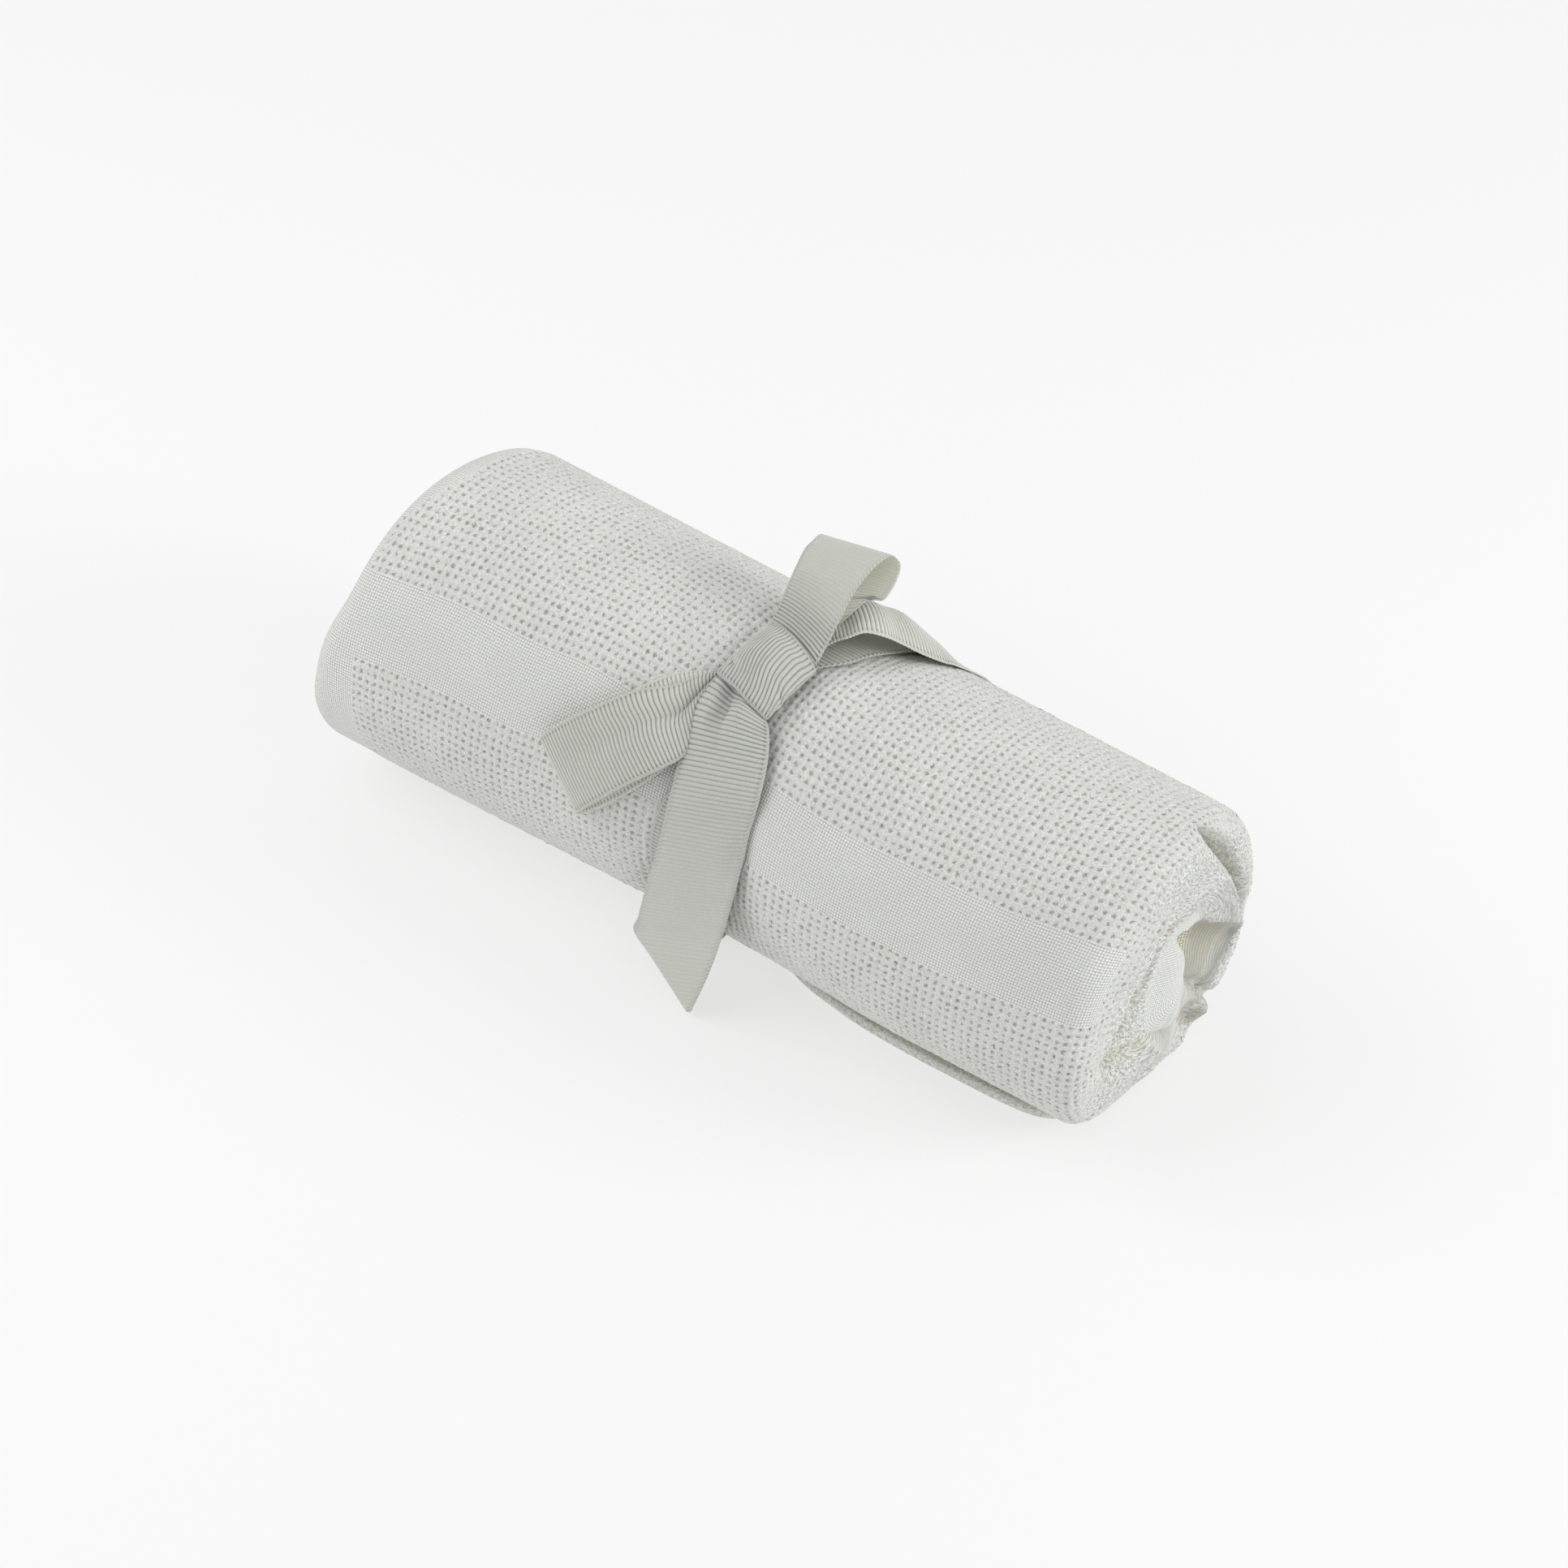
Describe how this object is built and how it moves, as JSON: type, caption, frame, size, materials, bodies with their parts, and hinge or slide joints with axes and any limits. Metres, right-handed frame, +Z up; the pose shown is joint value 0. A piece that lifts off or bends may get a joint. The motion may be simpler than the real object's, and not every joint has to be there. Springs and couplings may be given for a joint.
{
  "type": "rolled cellular baby blanket",
  "caption": "Cellular cotton baby blanket folded lengthwise, rolled up with its loose end underneath, and tied round the middle with a grosgrain ribbon bow.",
  "frame": {"origin": "middle of the whole part's footprint, on the floor it lies on", "axes": "+X along the roll towards its open folded end, -Y towards the front with the bow and the loose end, +Z up"},
  "size_m": [0.2832, 0.1114, 0.1216],
  "materials": {
    "blanket_cloth": "matte cotton, open cellular weave with plain-woven bands",
    "ribbon": "matte ribbed grosgrain with stitched selvages"
  },
  "bodies": {
    "root": {"blanket_roll": "blanket_cloth", "ribbon_bow": "ribbon"}
  },
  "joints": []
}
